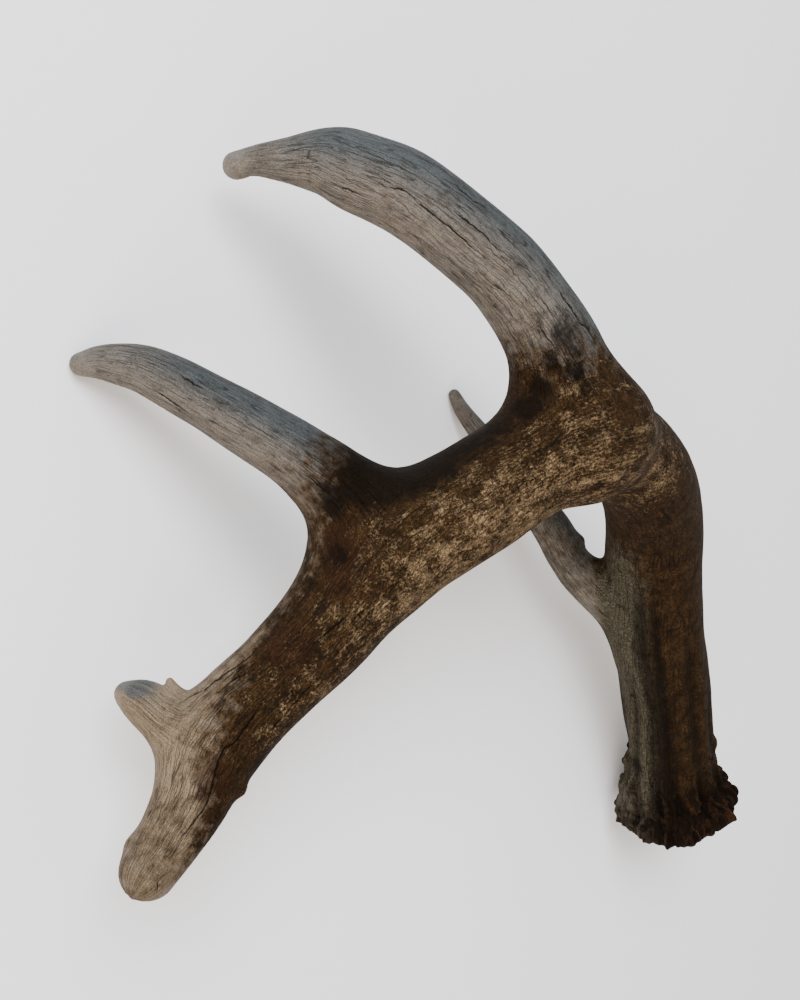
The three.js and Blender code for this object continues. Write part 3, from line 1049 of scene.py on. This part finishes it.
@dataclass
class Skin:
    """The antler's skin, one closed surface over all five limbs.

    It is remeshed in squares of one voxel, which are halved in zones: so far up the beam, and so near
    to its last small point and to each long crack. Small pearls start and end on the beam and keep
    off the floor, each between where there are none and where they crowd.
    """

    form: AntlerForm
    finish: WeatheredBoneAndPaintedLight
    voxel: float = 1.25
    tube_sides: int = 28
    burr_zone: float = 50.0
    lip_zone: float = 3.0
    crack_zones: tuple[float, ...] = (2.4, 1.2)
    pearls_start: tuple[float, float] = (3, 6)
    pearls_end: tuple[float, float] = (38, 12)
    floor_gap: tuple[float, float] = (3, 5)
    name: str = "antler_skin"

    def build(self) -> bpy.types.Object:
        """Makes the skin, shapes it and paints its masks.

        Returns:
            The skin.
        """
        mesh = self._remeshed()
        points = self.form.settle(self._points(mesh), rounds=3)
        self._move(mesh, self._relaxed(mesh, points))
        points = self._points(mesh)
        self._refine(mesh, (self.form.beam.beside(points).along < self.burr_zone)
                     | (self.form.tines[-1].beside(points).distance < self.lip_zone))
        for reach in self.crack_zones:
            points = self._points(mesh)
            side, _ = self.form.cracks(points, self.form.skin(points)[1])
            self._refine(mesh, np.abs(side) < reach)
        points = self._relaxed(mesh, self._points(mesh))
        at = self.form.measure(self.form.settle(points, rounds=2))
        relief, gutter = self.form.relief(at)
        points = at.points + at.outward * relief[:, None]
        points[:, 2] = np.maximum(points[:, 2], 0)
        self._move(mesh, points)
        self._paint(mesh, at, gutter)
        for polygon in mesh.polygons:
            polygon.use_smooth = True
        mesh.materials.clear()
        mesh.materials.append(self.finish.material())
        return link_object(self.name, mesh)

    def _remeshed(self) -> bpy.types.Mesh:
        """Joins the tubes of all limbs.

        Returns:
            A mesh of even squares over them.
        """
        corners: list[tuple[float, ...]] = []
        faces: list[tuple[int, ...]] = []
        for limb in (self.form.beam, *self.form.tines):
            more, sides = limb.tube(self.tube_sides)
            faces.extend(tuple(index + len(corners) for index in face) for face in sides)
            corners.extend(more)
        tubes = bpy.data.meshes.new("tubes")
        tubes.from_pydata(corners, [], faces)
        draft = link_object("draft", tubes)
        modifier = draft.modifiers.new("join", "REMESH")
        modifier.mode = "VOXEL"
        modifier.voxel_size = self.voxel * MM
        return evaluated_mesh(draft, self.name)

    def _points(self, mesh: bpy.types.Mesh) -> np.ndarray:
        """Reads where a mesh's corners are.

        Args:
            mesh: The mesh.

        Returns:
            Its corners in millimetres.
        """
        flat = np.empty(len(mesh.vertices) * 3, np.float32)
        mesh.vertices.foreach_get("co", flat)
        return flat.reshape(-1, 3).astype(float) / MM

    def _move(self, mesh: bpy.types.Mesh, points: np.ndarray) -> None:
        """Puts a mesh's corners at points given in millimetres."""
        mesh.vertices.foreach_set("co", (points * MM).astype(np.float32).ravel())
        mesh.update()

    def _relaxed(self, mesh: bpy.types.Mesh, points: np.ndarray, rounds: int = 2) -> np.ndarray:
        """Evens out the spacing of a mesh's corners.

        Args:
            mesh: The mesh, which stays as it is.
            points: Its corners in millimetres.
            rounds: How many times each goes halfway to the middle of those beside it.

        Returns:
            The moved corners.
        """
        flat = np.empty(len(mesh.edges) * 2, np.int32)
        mesh.edges.foreach_get("vertices", flat)
        one, other = flat.reshape(-1, 2).T
        count = np.bincount(flat, minlength=len(points))[:, None]
        for _ in range(rounds):
            total = np.zeros_like(points)
            for axis in range(3):
                total[:, axis] = (np.bincount(one, points[other, axis], len(points))
                                  + np.bincount(other, points[one, axis], len(points)))
            points = (points + total / count) / 2
        return points

    def _refine(self, mesh: bpy.types.Mesh, wanted: np.ndarray) -> None:
        """Halves the squares of a part of a mesh.

        Args:
            mesh: The mesh.
            wanted: Whether each of its corners is in that part.
        """
        shape = bmesh.new()
        shape.from_mesh(mesh)
        edges = [edge for edge in shape.edges if all(wanted[corner.index] for corner in edge.verts)]
        bmesh.ops.subdivide_edges(shape, edges=edges, cuts=1, use_grid_fill=True)
        shape.to_mesh(mesh)
        shape.free()

    def _pearly(self, at: Measured) -> np.ndarray:
        """Says how closely small pearls stand: not on the seal or on the burr's smooth lobe.

        Args:
            at: The measured points of the smooth form.

        Returns:
            A value from 0 to 1 for each point.
        """
        along = at.beam.along
        clear = smooth_step(at.points[:, 2], *self.floor_gap)
        clear *= (1 - self.form.lobe(at)) * (1 - at.tine_share)
        return smooth_step(along, *self.pearls_start) * smooth_step(along, *self.pearls_end) * clear

    def _paint(self, mesh: bpy.types.Mesh, at: Measured, gutter: np.ndarray) -> None:
        """Stores on the skin what the material and the pearls read.

        Args:
            mesh: The skin's mesh.
            at: The measured points of the smooth form, one for each corner.
            gutter: How deep each corner lies in a gutter, from 0 to 1, which is painted as shade.
        """
        tones = Tones(self.form)
        side, parted = self.form.cracks(at.points, at.outward)
        values = {"tine_share": at.tine_share, "gutter": gutter, "crack_side": side,
                  "crack_parted": parted, "polish": tones.polish(at),
                  "pearly": self._pearly(at),
                  **{tone.value: mask for tone, mask in tones.paint(at).items()}}
        for name, value in values.items():
            layer = mesh.attributes.new(name, "FLOAT", "POINT")
            layer.data.foreach_set("value", value.astype(np.float32))
        for name, value in (("beam_grain", at.beam.grain), ("tine_grain", at.tine.grain)):
            layer = mesh.attributes.new(name, "FLOAT_VECTOR", "POINT")
            layer.data.foreach_set("vector", value.astype(np.float32).ravel())


@dataclass(frozen=True)
class Tones:
    """Where each tone lies on the form.

    A band is the angle round the beam of its middle and its half width. A stretch of a limb is its
    start, end and fade. Every other pair is where a tone is gone and where it is full.
    """

    form: AntlerForm
    # Painted shade: the band and stretch of the beam's upper edge that are painted dark.
    upper_band: tuple[float, float] = (98, 24)
    upper_stretch: tuple[float, float, float] = (254, 296, 14)
    groove_band: tuple[float, float] = (-60, 9)
    groove_along: tuple[float, float] = (160, 90)
    olive_band: tuple[float, float] = (-104, 38)
    olive_along: tuple[float, float] = (180, 120)
    # Painted shade: the rib heights between which the burr's valleys are painted dark.
    rib_height: tuple[float, float] = (0.3, 0.14)
    burr_along: tuple[float, float] = (34, 12)
    rust_along: tuple[float, float] = (34, 8)
    stain_along: tuple[float, float] = (372, 318)
    tongue_band: tuple[float, float] = (-20, 65)
    tongue_length: float = 44
    bare_stretch: tuple[float, float, float] = (302, 364, 12)
    bare_round: tuple[float, float] = (78, 100)
    # Where the painted shadow streak lies across the brow tine.
    brow_shadow_stretch: tuple[float, float, float] = (48, 78, 14)
    second_stretch: tuple[float, float, float] = (25, 80, 18)
    beam_tip_along: tuple[float, float] = (368, 384)
    rubbed_stretch: tuple[float, float, float] = (200, 352, 25)
    rubbed_round: tuple[float, float] = (100, 55)
    rubbed_lower: tuple[float, float] = (55, 5)
    duller_past: tuple[float, float] = (298, 318)
    duller_before: tuple[float, float] = (248, 226)
    # Where painted sky light makes the tines a colder grey: facing its side, away from the beam and
    # facing up.
    sky_lit_facing: tuple[float, float] = (-0.6, 0.5)
    sky_lit_away: tuple[float, float] = (3, 13)
    sky_lit_upward: tuple[float, float] = (-0.7, 0.1)
    tine_tip: tuple[float, float] = (32, 6)
    pale_stretch: tuple[float, float, float] = (350, 400, 12)
    # Painted warm light: how far the tip faces away from the painted sky light.
    warm_lit_facing: tuple[float, float] = (0.95, -0.1)
    pale_along: tuple[float, float] = (364, 376)
    edge_stretch: tuple[float, float, float] = (302, 372, 12)
    edge_round: tuple[float, float] = (45, 75)
    edge_away: tuple[float, float] = (14, 4)
    worn_tip: tuple[float, float] = (10, 1)
    worn_beam: float = 0.3
    worn_reach: float = 3

    def paint(self, at: Measured) -> dict[Tone, np.ndarray]:
        """Paints every tone.

        Args:
            at: The measured points of the smooth form.

        Returns:
            The mask of each tone, from 0 to 1.
        """
        along, degrees, out = at.beam.along, at.beam.degrees, at.beam.distance
        start, end = np.array([tine.stained for tine in self.form.tines])[at.number].T
        near_beam = 1 - np.clip((out - start) / (end - start), 0, 1)
        # How much each point faces the side that painted sky light falls on.
        above = at.outward @ np.array(LEACHED_AND_SKY_LIT_SIDE)
        lobe = self.form.lobe(at)
        # Painted shade on the beam's upper edge between the second and third tines.
        upper_edge_shade = band(degrees, *self.upper_band) * window(along, *self.upper_stretch)
        groove = band(degrees, *self.groove_band) * smooth_step(along, *self.groove_along)
        # Painted shade: the burr is painted dark in the valleys between its ribs and left lighter on
        # their crests.
        shade_between_ribs = smooth_step(self.form.ribs(at), *self.rib_height)
        burr = smooth_step(along, *self.burr_along) * shade_between_ribs * (1 - lobe)
        dark = np.maximum(0.85 * upper_edge_shade, 0.9 * groove) * near_beam + 0.85 * burr
        olive = band(degrees, *self.olive_band) * smooth_step(along, *self.olive_along)
        rust = np.maximum(patch_mask(at.points, RUST_PATCHES),
                          0.7 * smooth_step(along, *self.rust_along))
        return {
            Tone.BROWN: self._brown(at, near_beam, lobe),
            # Fewer flecks in the painted shade of the beam's upper edge.
            Tone.FLECKED: self._rubbed(at) - 0.5 * upper_edge_shade,
            Tone.DARK: np.clip(dark + patch_mask(at.points, DARK_PATCHES), 0, 1),
            Tone.RUST: rust * (1 - lobe),
            Tone.OLIVE: np.maximum(olive, lobe),
            Tone.LEACHED_AND_SKY_LIT: self._leached_and_sky_lit(at, above),
            Tone.PALE: self._pale(at, above, near_beam),
        }

    def _brown(self, at: Measured, near_beam: np.ndarray, lobe: np.ndarray) -> np.ndarray:
        """Paints the beam's stain, which ends short of its tip, and a thin one on two tines; on the
        brow tine that thin one is a painted shadow, a streak across it.

        Args:
            at: The measured points of the smooth form.
            near_beam: How far the beam's stain reaches over each point, from 0 to 1.
            lobe: The smooth lobe at one side of the burr, from 0 to 1.

        Returns:
            The mask, from 0 to 1.
        """
        along, degrees = at.beam.along, at.beam.degrees
        tongue = self.tongue_length * band(degrees, *self.tongue_band)
        brown = near_beam * smooth_step(along - tongue, *self.stain_along)
        # Painted shadow: a streak across the brow tine, drawn as thin brown mottling.
        thin = 0.27 * window(at.tine.along, *self.brow_shadow_stretch) * (at.number == BROW_TINE)
        thin += 0.08 * window(at.tine.along, *self.second_stretch) * (at.number == SECOND_TINE)
        beam_tip = 0.28 * smooth_step(along, *self.beam_tip_along) * (1 - at.tine_share)
        bare_edge = window(along, *self.bare_stretch) * smooth_step(degrees, *self.bare_round)
        brown *= (1 - 0.4 * bare_edge) * (1 - 0.7 * lobe)
        return np.maximum.reduce([brown, thin * at.tine_share, beam_tip])

    def _rubbed(self, at: Measured) -> np.ndarray:
        """Finds where the beam's high spots are rubbed, mostly on its upper side past the bend.

        Args:
            at: The measured points of the smooth form.

        Returns:
            How many flecks there are, from 0 to 1.
        """
        along, degrees = at.beam.along, at.beam.degrees
        rubbed = window(along, *self.rubbed_stretch)
        rubbed *= (0.66 * smooth_step(degrees, *self.rubbed_round)
                   + 0.38 * smooth_step(degrees, *self.rubbed_lower))
        rubbed *= (1 - 0.32 * smooth_step(along, *self.duller_past)
                   - 0.25 * smooth_step(along, *self.duller_before))
        return np.maximum(rubbed, 0.75 * patch_mask(at.points, RUBBED_PATCHES))

    def _leached_and_sky_lit(self, at: Measured, above: np.ndarray) -> np.ndarray:
        """Paints the colder grey on the tines' upper side, weaker at their tips: bone that weather
        leaches, and painted sky light on that side.

        Args:
            at: The measured points of the smooth form.
            above: How much each point faces the side with the painted sky light, from -1 to 1.

        Returns:
            The mask, from 0 to 1.
        """
        cool = smooth_step(above, *self.sky_lit_facing)
        cool *= smooth_step(at.beam.distance, *self.sky_lit_away)
        cool *= smooth_step(at.outward[:, 2], *self.sky_lit_upward)
        whole = np.array([tine.stations[-1] for tine in self.form.tines])[at.number]
        tip = smooth_step(whole - at.tine.along, *self.tine_tip)
        return cool * np.where(at.number >= FOURTH_TINE, 0.75, 1 - 0.7 * tip)

    def _pale(self, at: Measured, above: np.ndarray, near_beam: np.ndarray) -> np.ndarray:
        """Paints the tan bone at the beam's tip and along the edge of its stain, and at the tip a
        paler tan as painted warm light on the side away from the painted sky light.

        Args:
            at: The measured points of the smooth form.
            above: How much each point faces the side with the painted sky light, from -1 to 1.
            near_beam: How far the beam's stain reaches over each point, from 0 to 1.

        Returns:
            The mask, from 0 to 1.
        """
        along, degrees = at.beam.along, at.beam.degrees
        end = window(along, *self.pale_stretch) * (at.number >= FOURTH_TINE)
        # Full on the side away from the painted sky light, as painted warm light, and all round the
        # last stretch of the tip.
        end *= np.maximum(smooth_step(above, *self.warm_lit_facing),
                          smooth_step(along, *self.pale_along))
        edge = window(along, *self.edge_stretch) * smooth_step(degrees, *self.edge_round)
        edge *= smooth_step(at.beam.distance, *self.edge_away)
        return np.maximum(end, 0.85 * np.maximum(edge, near_beam * at.tine_share))

    def polish(self, at: Measured) -> np.ndarray:
        """Finds where the tips are rubbed smooth.

        Args:
            at: The measured points of the smooth form.

        Returns:
            How smooth each point is, from 0 to 1.
        """
        worn = np.zeros(len(at.points))
        for limb in (self.form.beam, *self.form.tines):
            beside = limb.beside(at.points)
            tip = smooth_step(limb.stations[-1] - beside.along, *self.worn_tip)
            tip *= (beside.distance < self.worn_reach) * (self.worn_beam if limb.burr else 1)
            worn = np.maximum(worn, tip)
        return worn


@dataclass(frozen=True)
class BurrPearls:
    """The small pearls that crowd round the burr and thin out up the beam.

    crowding is how many there may be on a square millimetre, and flatness their height as a share of
    their width.
    """

    finish: bpy.types.Material
    spacing: float = 3.0
    crowding: float = 0.12
    smallest: float = 0.8
    largest: float = 1.5
    flatness: float = 0.55
    seed: int = 11
    name: str = "burr_pearls"

    def build(self, skin: bpy.types.Object) -> bpy.types.Object:
        """Grows the pearls on the skin.

        Args:
            skin: The skin, with its pearly mask.

        Returns:
            All pearls, as one plain mesh.
        """
        draft = link_object("draft", skin.data)
        modifier = draft.modifiers.new("pearls", "NODES")
        modifier.node_group = self._tree()
        sizes = {"Spacing": self.spacing * MM, "Crowding": self.crowding / MM**2,
                 "Smallest": self.smallest * MM, "Largest": self.largest * MM, "Seed": self.seed}
        for item in modifier.node_group.interface.items_tree:
            if item.name in sizes:
                modifier[item.identifier] = sizes[item.name]
        return link_object(self.name, evaluated_mesh(draft, self.name))

    def _tree(self) -> bpy.types.NodeTree:
        """Builds the nodes that set flattened balls on the skin.

        Returns:
            The nodes, with inputs for the pearls' sizes and how closely they stand.
        """
        tree = bpy.data.node_groups.new("pearls_on_skin", "GeometryNodeTree")
        tree.interface.new_socket("Geometry", in_out="INPUT", socket_type="NodeSocketGeometry")
        for name in ("Spacing", "Crowding", "Smallest", "Largest"):
            tree.interface.new_socket(name, in_out="INPUT", socket_type="NodeSocketFloat")
        tree.interface.new_socket("Seed", in_out="INPUT", socket_type="NodeSocketInt")
        tree.interface.new_socket("Geometry", in_out="OUTPUT", socket_type="NodeSocketGeometry")
        given = add_node(tree, "NodeGroupInput").node.outputs
        pearly = add_node(tree, "GeometryNodeInputNamedAttribute", {"Name": "pearly"},
                          data_type="FLOAT")
        spots = add_node(tree, "GeometryNodeDistributePointsOnFaces",
                         {"Mesh": given["Geometry"], "Distance Min": given["Spacing"],
                          "Density Max": given["Crowding"], "Density Factor": pearly,
                          "Seed": given["Seed"]}, distribute_method="POISSON").node.outputs
        size = add_node(tree, "FunctionNodeRandomValue",
                        {"Min": given["Smallest"], "Max": given["Largest"], "Seed": given["Seed"]},
                        data_type="FLOAT")
        flat = add_node(tree, "ShaderNodeMath", {0: size, 1: self.flatness}, operation="MULTIPLY")
        scale = add_node(tree, "ShaderNodeCombineXYZ", {0: size, 1: size, 2: flat})
        pearl = add_node(tree, "GeometryNodeMeshUVSphere",
                         {"Segments": 9, "Rings": 6, "Radius": 1.0})
        balls = add_node(tree, "GeometryNodeInstanceOnPoints",
                         {"Points": spots["Points"], "Instance": pearl,
                          "Rotation": spots["Rotation"], "Scale": scale})
        shape = add_node(tree, "GeometryNodeRealizeInstances", {"Geometry": balls})
        shape = add_node(tree, "GeometryNodeSetShadeSmooth", {"Geometry": shape})
        shape = add_node(tree, "GeometryNodeSetMaterial",
                         {"Geometry": shape, "Material": self.finish})
        add_node(tree, "NodeGroupOutput", {"Geometry": shape})
        return tree


@dataclass(frozen=True)
class Studio:
    """A pale floor under soft light, and the camera that looks down on the antler."""

    eye: tuple[float, float, float] = (-16.0, -282.2, 268.8)
    ahead: tuple[float, float, float] = (0.0, 0.6920, -0.7219)
    above: tuple[float, float, float] = (-0.9946, -0.0748, -0.0717)
    lens: float = 39.6
    sensor: float = 36.0
    floor_half: float = 3000.0
    floor_colour: str = "#f4f4f4"
    floor_roughness: float = 0.9
    sky_strength: float = 0.95

    def build(self) -> None:
        """Makes the floor, the lights and the camera."""
        self._floor()
        self._lights()
        self._camera()

    def _camera(self) -> None:
        """Sets the camera, turned a quarter so that the antler stands upright in its view."""
        camera = link_object("camera", bpy.data.cameras.new("camera"))
        camera.data.lens = self.lens
        camera.data.sensor_width = self.sensor
        back = -Vector(self.ahead).normalized()
        up = Vector(self.above)
        up = (up - back * up.dot(back)).normalized()
        turn = Matrix((up.cross(back), up, back)).transposed()
        camera.matrix_world = Matrix.Translation(Vector(self.eye) * MM) @ turn.to_4x4()
        bpy.context.scene.camera = camera

    def _floor(self) -> None:
        """Lays the floor at the height that the antler rests on."""
        half = self.floor_half * MM
        mesh = bpy.data.meshes.new("floor")
        corners = [(-half, -half, 0), (half, -half, 0), (half, half, 0), (-half, half, 0)]
        mesh.from_pydata(corners, [], [(0, 1, 2, 3)])
        material = bpy.data.materials.new("pale_paper")
        material.use_nodes = True
        surface = material.node_tree.nodes["Principled BSDF"]
        surface.inputs["Base Color"].default_value = linear(self.floor_colour)
        surface.inputs["Roughness"].default_value = self.floor_roughness
        mesh.materials.append(material)
        link_object("floor", mesh)

    def _lights(self) -> None:
        """Sets a cool key from the tine side, a warm fill opposite and an even sky."""
        for name, place, size, power, colour in (
            ("key", (-650, -750, 1000), 900, 34, "#f3f6ff"),
            ("fill", (800, -700, 500), 900, 11, "#ffe6ca"),
        ):
            light = bpy.data.lights.new(name, "AREA")
            light.shape = "DISK"
            light.size = size * MM
            light.energy = power
            light.color = linear(colour)[:3]
            lamp = link_object(name, light)
            lamp.location = Vector(place) * MM
            lamp.rotation_euler = (-lamp.location).to_track_quat("-Z", "Y").to_euler()
        world = bpy.data.worlds.new("studio")
        world.use_nodes = True
        sky = world.node_tree.nodes["Background"]
        sky.inputs["Color"].default_value = linear("#ffffff")
        sky.inputs["Strength"].default_value = self.sky_strength
        bpy.context.scene.world = world


def main() -> None:
    """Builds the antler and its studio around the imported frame."""
    logging.basicConfig(level=logging.INFO, format="%(name)s: %(message)s")
    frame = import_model()
    form = AntlerForm(
        Limb(BEAM_PATH, burr=BURR_PROFILE),
        (Limb(BROW_TINE_PATH, fillet=6.5, stained=(1, 9)),
         Limb(SECOND_TINE_PATH, fillet=14.5, stained=(2, 27)),
         Limb(THIRD_TINE_PATH, fillet=13.4, stained=(6, 30)),
         Limb(FOURTH_TINE_PATH, fillet=7.5, stained=(2, 8)),
         Limb(FOURTH_TINE_LIP_PATH, fillet=1.8, stained=(2, 8))),
    )
    skin = Skin(form, WeatheredBoneAndPaintedLight()).build()
    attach(skin, "root")
    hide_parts(*frame["nodes"])
    log.info("%s: %d faces", skin.name, len(skin.data.polygons))
    pearls = BurrPearls(skin.data.materials[0]).build(skin)
    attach(pearls, "root")
    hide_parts("main_beam")
    log.info("%s: %d faces", pearls.name, len(pearls.data.polygons))
    Studio().build()


if __name__ == "__main__":
    main()
